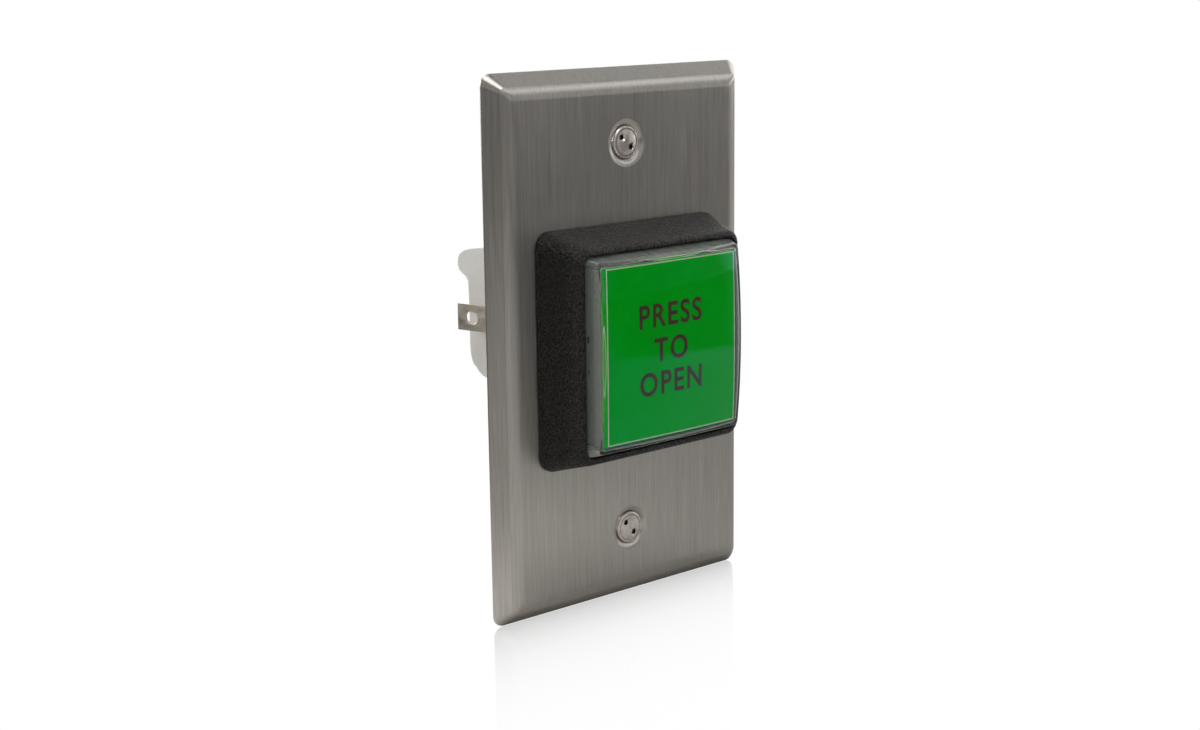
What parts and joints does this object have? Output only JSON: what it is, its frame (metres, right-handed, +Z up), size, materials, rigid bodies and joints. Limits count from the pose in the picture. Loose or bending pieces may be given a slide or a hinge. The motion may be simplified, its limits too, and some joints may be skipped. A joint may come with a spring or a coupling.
{
  "type": "illuminated request-to-open push button on a wall plate",
  "caption": "Square illuminated push button: domed clear lens over a green legend, tapered black bezel, bevelled steel wall plate, and a spring-return switch and lamp in a holder behind.",
  "frame": {"origin": "centre of the wall plate's rear face, on the wall plane", "axes": "+Z up the wall, +Y into the wall box, so the button faces -Y and is pressed along +Y, +X to the right seen from the front"},
  "size_m": [0.0698, 0.0608, 0.1142],
  "materials": {
    "plate_steel": "brushed, the grain running up and down",
    "screw_steel": "bright machined",
    "bezel_black": "fine satin texture",
    "nut_black": "moulded",
    "lens_clear": "clear polished acrylic",
    "legend_green": "printed film, dark lettering on green",
    "diffuser_white": "milky translucent",
    "carrier_grey": "moulded",
    "spring_steel": "drawn wire",
    "holder_white": "moulded, slightly satin",
    "lamp_base_white": "moulded",
    "lamp_dome_clear": "milky clear",
    "terminal_tinned": "tinned brass strip",
    "switch_black": "moulded",
    "switch_cover_red": "moulded",
    "pin_red": "moulded",
    "lever_steel": "rolled strip",
    "pivot_steel": "polished pin",
    "contact_brass": "sprung strip",
    "terminal_brass": "stamped strip"
  },
  "bodies": {
    "station": {"wall_plate": "plate_steel", "plate_screw_upper": "screw_steel", "plate_screw_lower": "screw_steel", "button_bezel": "bezel_black", "barrel_nut": "nut_black", "return_spring": "spring_steel", "lamp_switch_holder": "holder_white", "lamp_base": "lamp_base_white", "lamp_dome": "lamp_dome_clear", "lamp_terminal_left": "terminal_tinned", "lamp_terminal_right": "terminal_tinned", "switch_case": "switch_black", "switch_cover": "switch_cover_red", "lever_pivot_pin": "pivot_steel", "common_terminal": "terminal_brass", "normally_open_terminal": "terminal_brass", "normally_closed_terminal": "terminal_brass", "switch_screw_left": "screw_steel", "switch_screw_right": "screw_steel"},
    "button": {"lens_cap": "lens_clear", "legend_film": "legend_green", "diffuser_panel": "diffuser_white", "button_carrier": "carrier_grey"},
    "lever": {"switch_lever": "lever_steel"},
    "pin": {"switch_pin": "pin_red"},
    "blade": {"contact_blade": "contact_brass"}
  },
  "joints": [
    {"name": "button_press", "type": "slide", "parent": "station", "child": "button", "axis": [0, 1, 0], "range_m": [0, 0.003], "stiffness_N_per_m": 300, "springref_m": -0.006, "deforming": ["return_spring"]},
    {"name": "lever_swing", "type": "hinge", "parent": "station", "child": "lever", "pos_m": [0.0089, 0.0176, 0.0092], "axis": [0, 0, -1], "range_deg": [0, 16.6]},
    {"name": "pin_travel", "type": "slide", "parent": "station", "child": "pin", "axis": [0, 1, 0], "range_m": [0, 0.00096]},
    {"name": "blade_swing", "type": "hinge", "parent": "station", "child": "blade", "pos_m": [-0.007, 0.0226, 0.0096], "axis": [0, 0, 1], "range_deg": [0, 4.4]}
  ],
  "couplings": [
    {"joint": "lever_swing", "follows": "button_press", "rad_per_m": 95.99},
    {"joint": "pin_travel", "follows": "button_press", "ratio": 0.3167},
    {"joint": "blade_swing", "follows": "button_press", "rad_per_m": 25.3}
  ]
}
